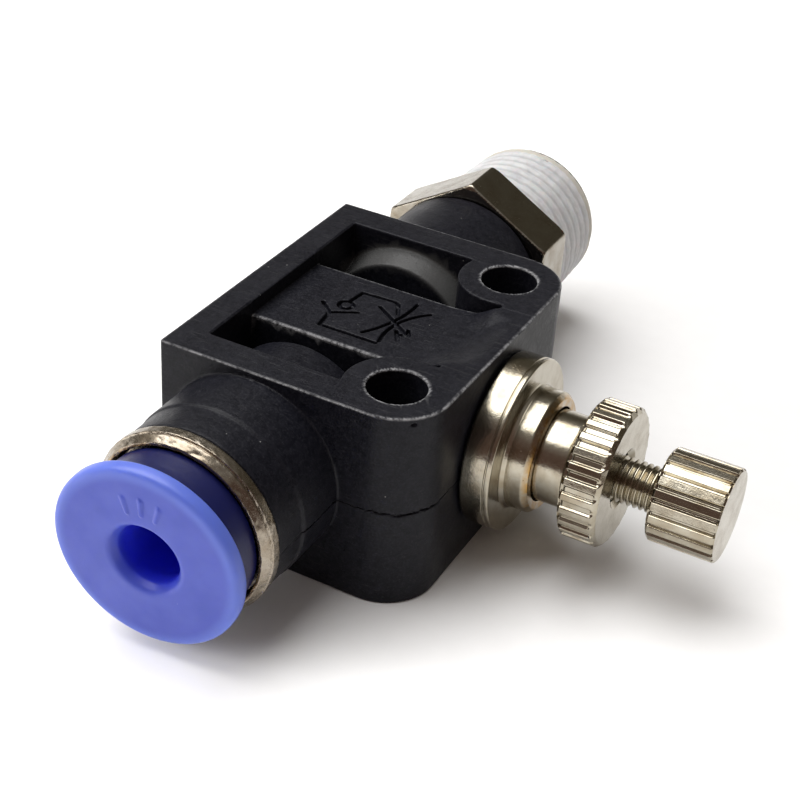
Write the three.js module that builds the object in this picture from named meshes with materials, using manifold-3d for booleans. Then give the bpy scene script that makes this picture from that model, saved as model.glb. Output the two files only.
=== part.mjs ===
// In-line flow control valve: push-in tube fitting at -Y, swivelling male thread at +Y, needle at +X.
// Millimetres, +Z up. Origin: on the body's bottom face, under the crossing of the two axes.
// Turned pieces are profiles of [radius, place along the axis], about Y or X at the height AXIS_Z.
import * as THREE from 'three';
import { mergeVertices } from 'three/addons/utils/BufferGeometryUtils.js';
import Module from 'manifold-3d';

const wasm = await Module();
wasm.setup();

// ---- driving dimensions ----
const AXIS_Z = 6.2; // height of the flow axis (Y) and of the needle axis (X)
const CLEAR = 0.1; // radial clearance between neighbouring pieces
const ROUND = 28; // sides of a round piece that shows
const INNER = 20; // sides of a round piece inside
const TURN = 2 * Math.PI;

// body block
const THICKNESS = 12;
const LEFT_X = -5.8; // blind side
const RIGHT_X = 9.9; // needle side
const HALF_Y = 9.9; // half of the block's length between the necks
const HOLE_X = 6.85; // mounting holes at (HOLE_X, +-HOLE_Y)
const HOLE_Y = 6.85;
const HOLE_R = 1.65; // clears an M3 screw
const BOSS_R = RIGHT_X - HOLE_X; // round the holes, and the block's two round corners
const LEFT_WALL = 1.8;
const END_WALL = 2.05;
const TOWER_HALF = 3.6; // half width of the middle tower that holds the cross bore
const PLATFORM_Z = 11.1; // top of the tower, a little under the block's top face
const WEB_LOW = 5.2; // the web between the upper and lower pockets
const WEB_HIGH = 7.2;
const SLOT_END_X = 7.8; // where the pockets end beside the bosses

// body necks, stubs and bores
const NECK_R = 5.35; // front neck
const BACK_NECK_R = 5.4;
const FRONT_NECK_END = -15.4;
const BACK_NECK_END = 15.45;
const FRONT_STUB_END = -4.6; // the necks reach into the pockets as stubs
const BACK_STUB_END = 6.4;
const CARTRIDGE_R = 4.45; // bore of the front neck
const CARTRIDGE_FLOOR = -8.4;
const TUBE_R = 1.7; // the tube's hole
const TUBE_STOP = -6.2;
const SHANK_BORE_R = 4.2; // bore of the back neck
const SHANK_FLOOR = 9.2;
const SNAP_GROOVE = { start: 13.5, end: 14.3, radius: 4.75 };
const NEEDLE_BORE_R = 2.7; // cross bore
const NEEDLE_BORE_END = -2.4;
const INLET_BORE_R = 1.9; // the cross bore's inner end
const INLET_BORE_END = -4.2;
const SPIGOT_BORE_R = 3.9; // the cross bore's mouth
const SPIGOT_FLOOR = 7.8;

// push-in end
const DISC_R = 5.35;
const DISC_FRONT = -19.6;
const DISC_BACK = -18.7;
const HUB_R = 4.65;
const HUB_END = -16.55;
const SLEEVE_R = 2.75;
const NOSE_END = -13;
const RING_R = 5.33;
const RING_MOUTH_R = 4.8;
const RING_FRONT = -16.7;
const RING_BACK = -15.5;
const RING_FLOOR = -15.7; // the hub stops here when the ring is pressed
const RING_SHANK_END = -12.3;
const TEETH = 8;

// needle cartridge
const COLLAR_R = 5;
const COLLAR_START = 10;
const COLLAR_END = 11.77;
const CUP_R = 3.5;
const CUP_END = 13.3;
const BUSHING_SHANK_R = NEEDLE_BORE_R - CLEAR;
const BUSHING_INNER_END = 4.9;
const GUIDE_R = 2.1;
const GUIDE_START = 4;
const GUIDE_NECK_R = 2.65;
const GUIDE_END = 15;
const SLEEVE_OUTER_R = 2.3;
const SLEEVE_END = GUIDE_START - CLEAR;
const CHAMBER_R = 1.85;
const ORIFICE_R = 0.75;
const SEAT_R = 1.5; // where the check seal sits

// needle, knob and locknut
const STEM_CREST_R = 1.3;
const STEM_ROOT_R = 1.12;
const STEM_PLAIN_R = 1.2;
const STEM_PITCH = 0.35;
const STEM_BORE_R = STEM_CREST_R + CLEAR;
const NEEDLE_TIP = -1.8;
const STEM_GROOVE = { start: 7, end: 7.7, radius: 0.85 };
const STOP_GROOVE = { start: 2.05, end: 2.45, radius: 0.75 };
const STEM_THREAD_START = 14.8;
const STEM_THREAD_END = 19.6;
const STEM_END = 21.7;
const NUT_START = 15.3;
const NUT_END = 17.5;
const NUT_R = 4;
const NUT_FLUTES = 28;
const KNOB_START = 19.8;
const KNOB_END = 23.6;
const KNOB_R = 2.65;
const KNOB_FLUTES = 22;
const FLUTE_DEPTH = 0.2;

// threaded end
const HEX_FLATS = 11.1;
const HEX_SKIM_R = 6.2; // the hexagon's corners are turned to this radius
const HEX_FACE_R = 5.95; // and chamfered to this one at both faces
const HEX_CHAMFER = 0.14;
const HEX_START = 15.55;
const HEX_END = 19.1;
const SHANK_R = SHANK_BORE_R - CLEAR;
const SHANK_START = 9.5;
const ORING_GROOVE = { start: 10.9, end: 11.9, radius: 3.25 };
const RING_GROOVE = { start: 13.55, end: 14.25, radius: 3.5 };
const FLOW_R = 2;
const PORT_R = 3; // bore of the threaded end
const PORT_FLOOR = 20.5;
const THREAD_START = 19.5;
const THREAD_STOP = 25.75;
const THREAD_END = 26.35;
const PIPE_PITCH = 0.907;
const PIPE_CREST_R = 5.1; // at the hexagon
const PIPE_TAPER = 1 / 32; // fall of the radius with length
const PIPE_DEPTH = 0.5;
const SEALANT_STOP = 24.95;

// ---- colours ----
const finish = (color, roughness, metalness) => () =>
  new THREE.MeshStandardMaterial({ color, roughness, metalness });
const blackNylon = finish(0x232325, 0.55, 0);
const blueAcetal = finish(0x646ed0, 0.35, 0);
const nickelBrass = finish(0xb5a68a, 0.28, 1);
const brass = finish(0xb08d4a, 0.35, 1);
const steel = finish(0xa8a8a8, 0.3, 1);
const rubber = finish(0x1b1b1b, 0.8, 0);
const sealant = finish(0xe6e4e0, 0.7, 0);

// ---- helpers ----
function solid(geometry) {
  const bare = geometry.clone();
  bare.deleteAttribute('normal');
  bare.deleteAttribute('uv');
  const merged = mergeVertices(bare, 1e-5);
  const mesh = new wasm.Mesh({
    numProp: 3,
    vertProperties: new Float32Array(merged.attributes.position.array),
    triVerts: new Uint32Array(merged.index.array),
  });
  mesh.merge();
  return new wasm.Manifold(mesh);
}

function geometryOf(manifold) {
  const mesh = manifold.getMesh();
  const geometry = new THREE.BufferGeometry();
  geometry.setAttribute('position', new THREE.BufferAttribute(mesh.vertProperties, 3));
  geometry.setIndex(new THREE.BufferAttribute(mesh.triVerts, 1));
  geometry.computeVertexNormals();
  return geometry;
}

const toPoints = (profile) => profile.map(([radius, along]) => new THREE.Vector2(radius, along));

// A turned ring about Y: its profile closes on itself, in either direction.
function turned(profile, sides = ROUND) {
  const points = toPoints(profile);
  if (THREE.ShapeUtils.area(points) < 0) points.reverse();
  points.push(points[0].clone());
  return new THREE.LatheGeometry(points, sides);
}

// A turned solid about Y: its profile starts and ends on the axis, low end first.
const turnedSolid = (profile, sides = ROUND) => new THREE.LatheGeometry(toPoints(profile), sides);

const rod = (radius, start, end, sides = ROUND) =>
  turnedSolid([[0, start], [radius, start], [radius, end], [0, end]], sides);

const alongY = (geometry) => geometry.translate(0, 0, AXIS_Z);
const alongX = (geometry) => geometry.rotateZ(-Math.PI / 2).translate(0, 0, AXIS_Z);

// The points of a groove cut into a shaft of the given radius, low end first.
const grooveIn = (shaft, groove) => [
  [shaft, groove.start], [groove.radius, groove.start], [groove.radius, groove.end], [shaft, groove.end],
];

function oRing(radius, section, place, sides = INNER) {
  const corners = 8;
  const profile = [];
  for (let i = 0; i < corners; i += 1) {
    const angle = (TURN * (i + 0.5)) / corners;
    profile.push([radius + section * Math.cos(angle), place + section * Math.sin(angle)]);
  }
  return turned(profile, sides);
}

function plate(shape, low, high, curveSegments = 8) {
  const options = { depth: high - low, bevelEnabled: false, curveSegments };
  return new THREE.ExtrudeGeometry(shape, options).translate(0, 0, low);
}

function box(x0, x1, y0, y1, z0, z1) {
  const geometry = new THREE.BoxGeometry(x1 - x0, y1 - y0, z1 - z0);
  return geometry.translate((x0 + x1) / 2, (y0 + y1) / 2, (z0 + z1) / 2);
}

function circle(radius, x, y) {
  const shape = new THREE.Shape();
  shape.absarc(x, y, radius, 0, TURN, false);
  return shape;
}

function outline(points) {
  return new THREE.Shape(points.map(([x, y]) => new THREE.Vector2(x, y)));
}

// The outline, across the axis, of a round piece with straight flutes.
function flutedOutline(radius, flutes) {
  const flank = [[0, 0], [0.5, 0], [0.62, FLUTE_DEPTH], [0.88, FLUTE_DEPTH]];
  const points = [];
  for (let i = 0; i < flutes; i += 1) {
    for (const [part, depth] of flank) {
      const angle = (TURN * (i + part)) / flutes;
      points.push([(radius - depth) * Math.cos(angle), (radius - depth) * Math.sin(angle)]);
    }
  }
  return outline(points);
}

const parts = new THREE.Group();
function add(name, geometry, material) {
  const mesh = new THREE.Mesh(geometry, material());
  mesh.name = name;
  parts.add(mesh);
}

// ---- body ----
function blockOutline() {
  const shape = new THREE.Shape();
  shape.moveTo(LEFT_X, -HALF_Y);
  shape.lineTo(HOLE_X, -HALF_Y);
  shape.absarc(HOLE_X, -HOLE_Y, BOSS_R, -Math.PI / 2, 0, false);
  shape.lineTo(RIGHT_X, HOLE_Y);
  shape.absarc(HOLE_X, HOLE_Y, BOSS_R, 0, Math.PI / 2, false);
  shape.lineTo(LEFT_X, HALF_Y);
  shape.closePath();
  return shape;
}

// One pocket between an end wall and the tower; side is -1 for the front and 1 for the back.
function pocket(side, low, high) {
  const [y0, y1] = [side * TOWER_HALF, side * (HALF_Y - END_WALL)].sort((a, b) => a - b);
  const room = box(LEFT_X + LEFT_WALL, SLOT_END_X, y0, y1, low, high);
  const boss = plate(circle(BOSS_R, HOLE_X, side * HOLE_Y), low - 1, high + 1, 14);
  return solid(room).subtract(solid(boss));
}

// The tower's top lies under the block's top and climbs back to it at the needle side.
function platformRecess() {
  const flatEnd = 2;
  const shoulder = [SLOT_END_X, PLATFORM_Z + 0.35];
  const rimX = RIGHT_X - 0.5;
  const shape = outline([
    [LEFT_X + LEFT_WALL, PLATFORM_Z], [flatEnd, PLATFORM_Z], shoulder, [rimX, THICKNESS],
    [rimX, THICKNESS + 1], [LEFT_X + LEFT_WALL, THICKNESS + 1],
  ]);
  return solid(plate(shape, -TOWER_HALF, TOWER_HALF).rotateX(Math.PI / 2));
}

function bodyOutside() {
  const frontNeck = turnedSolid([
    [0, FRONT_NECK_END], [NECK_R - CLEAR, FRONT_NECK_END], [NECK_R - CLEAR, -13.2], [NECK_R, -13.2],
    [NECK_R, -9], [0, -9],
  ]);
  const backNeck = rod(BACK_NECK_R, 9, BACK_NECK_END);
  const frontStub = turnedSolid([[0, -8], [5, -8], [4.75, FRONT_STUB_END], [0, FRONT_STUB_END]]);
  const backStub = turnedSolid([[0, BACK_STUB_END], [4.6, BACK_STUB_END], [5.1, 8], [0, 8]]);
  const flowPipe = rod(2.6, FRONT_STUB_END - 0.4, BACK_STUB_END + 0.2, INNER);

  let body = solid(plate(blockOutline(), 0, THICKNESS, 7)).subtract(platformRecess());
  for (const side of [-1, 1]) {
    body = body.subtract(pocket(side, WEB_HIGH, THICKNESS + 1));
    body = body.subtract(pocket(side, -1, WEB_LOW));
  }
  for (const piece of [frontNeck, backNeck, frontStub, backStub, flowPipe]) {
    body = body.add(solid(alongY(piece)));
  }
  return body;
}

function bodyBores() {
  const cartridge = turnedSolid([
    [0, FRONT_NECK_END - 1], [CARTRIDGE_R, FRONT_NECK_END - 1], [CARTRIDGE_R, CARTRIDGE_FLOOR],
    [TUBE_R, CARTRIDGE_FLOOR], [TUBE_R, TUBE_STOP], [0, TUBE_STOP],
  ], INNER);
  const shank = turnedSolid([
    [0, 6.9], [2.4, 6.9], [2.4, SHANK_FLOOR], [SHANK_BORE_R, SHANK_FLOOR],
    ...grooveIn(SHANK_BORE_R, SNAP_GROOVE), [SHANK_BORE_R, BACK_NECK_END + 1], [0, BACK_NECK_END + 1],
  ]);
  const needle = turnedSolid([
    [0, INLET_BORE_END], [INLET_BORE_R, INLET_BORE_END], [INLET_BORE_R, NEEDLE_BORE_END],
    [NEEDLE_BORE_R, NEEDLE_BORE_END], [NEEDLE_BORE_R, SPIGOT_FLOOR], [SPIGOT_BORE_R, SPIGOT_FLOOR],
    [SPIGOT_BORE_R, RIGHT_X + 1], [0, RIGHT_X + 1],
  ]);
  const outlet = rod(1.1, 0, 7.2, 12).translate(1.2, 0, AXIS_Z);
  const inlet = rod(0.8, -3.6, 3.6, 12).rotateZ(0.36).translate(-1.9, -3.3, AXIS_Z);
  const screwHoles = [-1, 1].map((side) =>
    plate(circle(HOLE_R, HOLE_X, side * HOLE_Y), -1, THICKNESS + 1, 10));
  return [alongY(cartridge), alongY(shank), alongX(needle), outlet, inlet, ...screwHoles];
}

function valveBody() {
  let body = bodyOutside();
  for (const bore of bodyBores()) body = body.subtract(solid(bore));
  return geometryOf(body);
}
add('valve_body', valveBody(), blackNylon);

// ---- push-in end ----
add('release_collet', alongY(turned([
  [TUBE_R + 0.25, DISC_FRONT], [DISC_R - 0.3, DISC_FRONT], [DISC_R, DISC_FRONT + 0.25],
  [DISC_R, DISC_BACK - 0.2], [DISC_R - 0.15, DISC_BACK], [HUB_R, DISC_BACK], [HUB_R, HUB_END],
  [SLEEVE_R, HUB_END], [SLEEVE_R, NOSE_END - 0.6], [2.2, NOSE_END], [TUBE_R, NOSE_END],
  [TUBE_R, DISC_FRONT + 0.4],
])), blueAcetal);

add('collet_retainer_ring', alongY(turned([
  [RING_MOUTH_R, RING_FRONT], [RING_R - 0.28, RING_FRONT], [RING_R, RING_FRONT + 0.35],
  [RING_R, RING_BACK], [CARTRIDGE_R - CLEAR, RING_BACK], [CARTRIDGE_R - CLEAR, RING_SHANK_END],
  [SLEEVE_R + 0.2, RING_SHANK_END], [SLEEVE_R + 0.2, RING_FLOOR], [RING_MOUTH_R, RING_FLOOR],
])), nickelBrass);

// A dished ring whose inner edge is slit into teeth.
function grabRing() {
  let ring = solid(turned([[4.25, -12.15], [4.25, -11.95], [1.8, -11.05], [1.8, -11.25]], 24));
  for (let i = 0; i < TEETH; i += 1) {
    const slit = box(0, 3.3, -12.5, -10.5, -0.18, 0.18).rotateY((TURN * i) / TEETH);
    ring = ring.subtract(solid(slit));
  }
  return geometryOf(ring);
}
add('grab_ring', alongY(grabRing()), steel);

add('grab_ring_holder', alongY(turned([
  [4.3, -11.8], [4.3, -10.6], [2, -10.6], [2, -10.95],
], INNER)), brass);

add('tube_seal', alongY(turned([
  [4.3, -10.5], [4.3, -8.5], [2.5, -8.5], [1.75, -8.9], [1.6, -9.4], [2.1, -10.5],
], INNER)), rubber);

// ---- needle cartridge ----
add('needle_bushing', alongX(turned([
  [GUIDE_R + CLEAR, BUSHING_INNER_END], [BUSHING_SHANK_R, BUSHING_INNER_END],
  [BUSHING_SHANK_R, SPIGOT_FLOOR + CLEAR], [SPIGOT_BORE_R - CLEAR, SPIGOT_FLOOR + CLEAR],
  [SPIGOT_BORE_R - CLEAR, COLLAR_START], [COLLAR_R - 0.15, COLLAR_START],
  [COLLAR_R, COLLAR_START + 0.15], [COLLAR_R, COLLAR_END - 0.22], [COLLAR_R - 0.15, COLLAR_END],
  [CUP_R, COLLAR_END], [CUP_R, CUP_END - 0.45], [CUP_R - 0.35, CUP_END],
  [GUIDE_NECK_R + CLEAR, CUP_END], [GUIDE_NECK_R + CLEAR, CUP_END - 0.3], [3, CUP_END - 0.3],
  [3, 11.8], [GUIDE_R + CLEAR, 11.8],
])), nickelBrass);

add('bushing_oring', alongX(oRing(2.4, 0.26, 4.45)), rubber);

add('needle_guide', alongX(turned([
  [STEM_BORE_R, GUIDE_START], [GUIDE_R, GUIDE_START], [GUIDE_R, 11.9], [2.9, 11.9],
  [2.9, CUP_END - 0.4], [GUIDE_NECK_R, CUP_END - 0.4], [GUIDE_NECK_R, GUIDE_END - 0.2],
  [GUIDE_NECK_R - 0.2, GUIDE_END], [STEM_BORE_R, GUIDE_END],
], 24)), nickelBrass);

// The orifice is at the sleeve's inner end, and four side ports let the metered air out.
function seatSleeve() {
  const blank = turned([
    [ORIFICE_R, -2.3], [2, -2.3], [2, -2], [SEAT_R, -2], [SEAT_R, -0.4], [SLEEVE_OUTER_R, -0.4],
    [SLEEVE_OUTER_R, SLEEVE_END], [CHAMBER_R, SLEEVE_END], [CHAMBER_R, -0.25], [ORIFICE_R, -1.3],
  ], INNER);
  let sleeve = solid(blank.rotateZ(-Math.PI / 2));
  for (const turn of [0, Math.PI / 2]) {
    const port = rod(0.6, -4, 4, 10).translate(1.2, 0, 0).rotateX(turn);
    sleeve = sleeve.subtract(solid(port));
  }
  return geometryOf(sleeve).translate(0, 0, AXIS_Z);
}
add('seat_sleeve', seatSleeve(), brass);

// A lip seal: its open side faces the needle, so air from the threaded end presses the lip shut.
add('check_seal', alongX(turned([
  [SEAT_R + CLEAR, -1.9], [2.05, -1.9], [2.6, -0.6], [2.5, -0.55], [1.95, -1.5], [1.8, -1.5],
  [1.8, -0.5], [SEAT_R + CLEAR, -0.5],
], INNER)), rubber);

// ---- needle, knob and locknut ----
function needleStem() {
  const profile = [
    [0, NEEDLE_TIP], [0.2, NEEDLE_TIP], [0.66, 0.9], [1, 1.3], ...grooveIn(1, STOP_GROOVE),
    [STEM_PLAIN_R, STOP_GROOVE.end], ...grooveIn(STEM_PLAIN_R, STEM_GROOVE),
    [STEM_PLAIN_R, STEM_THREAD_START - 0.2],
  ];
  for (let x = STEM_THREAD_START; x < STEM_THREAD_END; x += STEM_PITCH) {
    profile.push([STEM_ROOT_R, x], [STEM_CREST_R, x + STEM_PITCH / 2]);
  }
  profile.push([STEM_ROOT_R, STEM_THREAD_END + 0.1], [STEM_ROOT_R, STEM_END], [0, STEM_END]);
  return turnedSolid(profile, 18);
}
add('needle_stem', alongX(needleStem()), nickelBrass);

add('stem_oring', alongX(oRing(1.12, 0.24, 7.35, 16)), rubber);

add('stem_stop_ring', alongX(turned([[0.8, 2.1], [1.7, 2.1], [1.7, 2.4], [0.8, 2.4]], INNER)), steel);

// A fluted round piece on the needle axis with a bore from its inner face to boreEnd.
function fluted(radius, flutes, start, end, boreRadius, boreEnd) {
  const blank = plate(flutedOutline(radius, flutes), start, end).rotateY(Math.PI / 2);
  const bore = rod(boreRadius, start - 1, boreEnd, INNER).rotateZ(-Math.PI / 2);
  return geometryOf(solid(blank).subtract(solid(bore))).translate(0, 0, AXIS_Z);
}
add('adjusting_knob', fluted(KNOB_R, KNOB_FLUTES, KNOB_START, KNOB_END, 1.22, STEM_END + 0.2), nickelBrass);
add('locknut', fluted(NUT_R, NUT_FLUTES, NUT_START, NUT_END, STEM_BORE_R, NUT_END + 1), nickelBrass);

// ---- threaded end ----
// Taper thread as ridges from start to end, of the given depth, with its radius raised by lift.
function pipeRidges(start, end, depth, lift) {
  const ridges = [];
  for (let y = start; y < end - PIPE_PITCH / 2; y += PIPE_PITCH) {
    const crest = PIPE_CREST_R - (y - HEX_END) * PIPE_TAPER + lift;
    ridges.push([crest - depth, y], [crest, y + PIPE_PITCH / 2]);
  }
  return ridges;
}

// A hexagonal bar along Y with a corner on top.
function hexagon() {
  const corner = HEX_FLATS / Math.sqrt(3);
  const points = [];
  for (let i = 0; i < 6; i += 1) {
    const angle = (TURN * i) / 6;
    points.push([corner * Math.sin(angle), corner * Math.cos(angle)]);
  }
  return plate(outline(points.reverse()), -HEX_END, -HEX_START).rotateX(Math.PI / 2);
}

function threadedFitting() {
  const skim = turnedSolid([
    [0, HEX_START], [HEX_FACE_R, HEX_START], [HEX_SKIM_R, HEX_START + HEX_CHAMFER],
    [HEX_SKIM_R, HEX_END - HEX_CHAMFER], [HEX_FACE_R, HEX_END], [0, HEX_END],
  ], 48);
  const outside = turnedSolid([
    [0, SHANK_START], [SHANK_R, SHANK_START], ...grooveIn(SHANK_R, ORING_GROOVE),
    ...grooveIn(SHANK_R, RING_GROOVE), [SHANK_R, HEX_END - 0.8], [4.5, HEX_END - 0.8], [4.5, HEX_END + 0.2],
    ...pipeRidges(THREAD_START, THREAD_STOP, PIPE_DEPTH, 0), [4.35, THREAD_END], [0, THREAD_END],
  ]);
  const bore = turnedSolid([
    [0, SHANK_START - 1], [FLOW_R, SHANK_START - 1], [FLOW_R, PORT_FLOOR - 0.7],
    [PORT_R, PORT_FLOOR], [PORT_R, THREAD_END + 1], [0, THREAD_END + 1],
  ], INNER);
  const fitting = solid(hexagon()).intersect(solid(skim)).add(solid(outside)).subtract(solid(bore));
  return geometryOf(fitting);
}
add('threaded_fitting', alongY(threadedFitting()), nickelBrass);

// A coat that fills the roots a little and covers the crests.
function threadSealant() {
  const inside = pipeRidges(THREAD_START, SEALANT_STOP, PIPE_DEPTH, 0.06);
  const outside = pipeRidges(THREAD_START, SEALANT_STOP, 0.32, 0.16);
  return turned([...outside, ...inside.reverse()]);
}
add('thread_sealant', alongY(threadSealant()), sealant);

add('fitting_oring', alongY(oRing(3.72, 0.43, 11.4)), rubber);

function retainingRing() {
  const ring = turned([[3.6, 13.65], [4.65, 13.65], [4.65, 14.15], [3.6, 14.15]], INNER);
  return geometryOf(solid(ring).subtract(solid(box(-0.6, 0.6, 13, 15, 2, 6))));
}
add('fitting_retaining_ring', alongY(retainingRing()), steel);

export default parts;
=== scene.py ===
"""Looks of an in-line flow control valve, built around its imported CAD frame.

Meshes are worked out in millimetres in the CAD frame and scaled to metres when they become objects.
"""

import math

import bpy
import numpy as np
from mathutils import Euler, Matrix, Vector


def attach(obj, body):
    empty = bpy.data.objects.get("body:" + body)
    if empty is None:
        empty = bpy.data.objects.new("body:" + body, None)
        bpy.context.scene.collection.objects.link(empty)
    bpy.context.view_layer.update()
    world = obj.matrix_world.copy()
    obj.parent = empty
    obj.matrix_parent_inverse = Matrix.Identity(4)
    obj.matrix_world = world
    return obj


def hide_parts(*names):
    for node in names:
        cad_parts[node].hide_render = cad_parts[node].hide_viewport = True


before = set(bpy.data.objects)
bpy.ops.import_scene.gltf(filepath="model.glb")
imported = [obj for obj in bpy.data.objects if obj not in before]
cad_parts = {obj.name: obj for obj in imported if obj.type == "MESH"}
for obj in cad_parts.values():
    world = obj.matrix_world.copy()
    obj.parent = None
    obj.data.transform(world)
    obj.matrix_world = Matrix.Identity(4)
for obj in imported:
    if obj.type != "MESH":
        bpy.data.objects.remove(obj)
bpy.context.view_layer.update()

MM = 0.001
TURN = 2 * math.pi
KEY_POWER, FILL_POWER, WASH_POWER = 3.5, 0.25, 3.4
KEY_SIZE, FILL_SIZE, WASH_SIZE = 0.55, 0.4, 0.3
COARSE = 1.0

# The body, in millimetres
AXIS_Z = 6.2  # height of the flow axis (Y) and of the needle axis (X)
THICKNESS = 12.0
LEFT_X, RIGHT_X, HALF_Y = -5.8, 9.9, 9.9
HOLE_X, HOLE_Y, HOLE_R, BOSS_R = 6.85, 6.85, 1.65, 3.05
TOWER_HALF = 3.6
PARTING_Z = 6.0
BLIND_CORNER = 0.15
SLOT_END_X = 7.8  # the pockets run past the bosses to here
BLIND_WALL_X, END_WALL = -4, 2.05  # inner side of the blind wall; thickness of the end walls
WEB_LOW, WEB_HIGH = 5.2, 7.2  # the web between the upper and lower pockets
FRONT_NECK_END, BACK_NECK_END, BACK_NECK_R = -15.4, 15.45, 5.4
FRONT_STUB_END, BACK_STUB_END = -4.6, 6.4  # the necks reach into the pockets as stubs
PIPE_R = 2.6
CARTRIDGE_R, CARTRIDGE_FLOOR = 4.45, -8.4
TUBE_R, TUBE_STOP = 1.7, -6.2
SHANK_BORE_R, SHANK_FLOOR = 4.2, 9.2
SNAP_GROOVE_R, SNAP_GROOVE_START, SNAP_GROOVE_END = 4.75, 13.5, 14.3
NEEDLE_BORE_R, NEEDLE_BORE_END = 2.7, -2.4
SPIGOT_BORE_R, SPIGOT_FLOOR = 3.9, 7.8
INLET_BORE_R, INLET_BORE_END = 1.9, -4.2
STROKE_HALF, STROKE_DEPTH = 0.12, 0.3  # the engraved symbol
GATE_R, GATE_Z = 0.17, 11.62

BODY_FACES, FITTING_FACES = 190000, 150000
ON_AXIS = 0.0005  # a turned ring that closes on its axis keeps this radius there


# ---- meshes ----
def vertex_normals(points, triangles):
    """Normals weighted by area, so that a flat face stays flat up to its rounded edge."""
    a, b, c = (points[triangles[:, i]] for i in range(3))
    faces = np.cross(b - a, c - a)
    normals = np.zeros_like(points)
    for i in range(3):
        np.add.at(normals, triangles[:, i], faces)
    return normals / np.maximum(np.linalg.norm(normals, axis=1, keepdims=True), 1e-12)


def mesh_arrays(mesh):
    """Points in millimetres and triangles of a mesh."""
    points = np.empty(len(mesh.vertices) * 3, np.float32)
    mesh.vertices.foreach_get("co", points)
    mesh.calc_loop_triangles()
    triangles = np.empty(len(mesh.loop_triangles) * 3, np.int32)
    mesh.loop_triangles.foreach_get("vertices", triangles)
    return points.reshape(-1, 3).astype(np.float64) / MM, triangles.reshape(-1, 3)


def build_mesh(name, points, faces):
    """A mesh from points in millimetres and an array of triangles or quads."""
    mesh = bpy.data.meshes.new(name)
    sides = faces.shape[1]
    mesh.vertices.add(len(points))
    mesh.vertices.foreach_set("co", (points * MM).astype(np.float32).ravel())
    mesh.loops.add(faces.size)
    mesh.loops.foreach_set("vertex_index", faces.astype(np.int32).ravel())
    mesh.polygons.add(len(faces))
    mesh.polygons.foreach_set("loop_start", np.arange(0, faces.size, sides, dtype=np.int32))
    mesh.update(calc_edges=True)
    mesh.validate()
    return mesh


def make_piece(name, mesh, body, nodes, material, marks=None):
    """An object for the mesh that rides on the body and stands for the CAD nodes."""
    points, triangles = mesh_arrays(mesh)
    mesh.shade_smooth()
    mesh.normals_split_custom_set_from_vertices(vertex_normals(points, triangles))
    for mark, values in (marks or {}).items():
        layer = mesh.attributes.new(mark, "FLOAT", "POINT")
        layer.data.foreach_set("value", values(points).astype(np.float32))
    mesh.materials.append(material)
    piece = bpy.data.objects.new(name, mesh)
    bpy.context.scene.collection.objects.link(piece)
    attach(piece, body)
    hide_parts(*nodes)
    return piece


# ---- round pieces ----
def filleted(profile, steps=5):
    """The profile [radius, place(, fillet)], with an arc at each corner that has a fillet."""
    corners = [np.array(p[:2], float) for p in profile]
    radii = [p[2] if len(p) > 2 else 0.0 for p in profile]
    points = []
    for i, corner in enumerate(corners):
        before, after = corners[i - 1] - corner, corners[(i + 1) % len(corners)] - corner
        d0, d1 = np.linalg.norm(before), np.linalg.norm(after)
        if radii[i] <= 0:
            points.append(corner)
            continue
        before, after = before / d0, after / d1
        half = 0.5 * math.acos(np.clip(before @ after, -1, 1))
        cut = min(radii[i] / math.tan(half), 0.49 * d0, 0.49 * d1)
        start, end = corner + before * cut, corner + after * cut
        for k in range(steps + 1):
            t = k / steps
            points.append((1 - t) ** 2 * start + 2 * t * (1 - t) * corner + t * t * end)
    return np.array(points)


def resampled(points, longest):
    """The closed profile with no stretch longer than longest."""
    made = []
    for i, start in enumerate(points):
        end = points[(i + 1) % len(points)]
        count = max(1, math.ceil(np.linalg.norm(end - start) / longest))
        made += [start + (end - start) * k / count for k in range(count)]
    return np.array(made)


def revolve(profile, along, sides, relief=None, longest=None, steps=5):
    """A closed turned ring about the X or Y axis at AXIS_Z.

    relief(place, radius, angle, out) gives how far each point moves out along out, its normal
    in the profile; angle is 0 at the top and grows by the right-hand rule about the axis.
    """
    line = filleted(profile, steps)
    if longest:
        line = resampled(line, longest)
    area = np.sum(line[:, 0] * np.roll(line[:, 1], -1) - np.roll(line[:, 0], -1) * line[:, 1])
    if area < 0:
        line = line[::-1]
    ahead = np.roll(line, -1, 0) - np.roll(line, 1, 0)
    out = np.stack([ahead[:, 1], -ahead[:, 0]], 1)
    out /= np.maximum(np.linalg.norm(out, axis=1, keepdims=True), 1e-9)
    angle = np.arange(sides) * TURN / sides
    radius = np.repeat(line[:, :1], sides, 1)
    place = np.repeat(line[:, 1:], sides, 1)
    if relief:
        spread = np.broadcast_to(angle, radius.shape)
        lift = relief(place, radius, spread, out[:, :, None])
        radius, place = radius + lift * out[:, :1], place + lift * out[:, 1:]
    across, up = radius * np.sin(angle), radius * np.cos(angle)
    if along == "y":
        points = np.stack([across, place, up + AXIS_Z], -1)
    else:
        points = np.stack([place, -across, up + AXIS_Z], -1)
    rows = len(line)
    i, j = np.meshgrid(np.arange(rows), np.arange(sides), indexing="ij")
    i1, j1 = (i + 1) % rows, (j + 1) % sides
    quads = np.stack([i * sides + j, i1 * sides + j, i1 * sides + j1, i * sides + j1], -1)
    quads = quads.reshape(-1, 4)
    return points.reshape(-1, 3), quads


def turned_piece(
    name, profile, along, sides, body, nodes, slot, material, marks=None, after=None, **how
):
    """A turned ring as a piece; after(points) moves its points once it is turned."""
    points, quads = revolve(profile, along, sides, **how)
    if after:
        points = after(points)
    if signed_volume(points, quads) < 0:
        quads = quads[:, ::-1]
    return make_piece(name, build_mesh(name, points, quads), body, nodes, material, marks)


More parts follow.
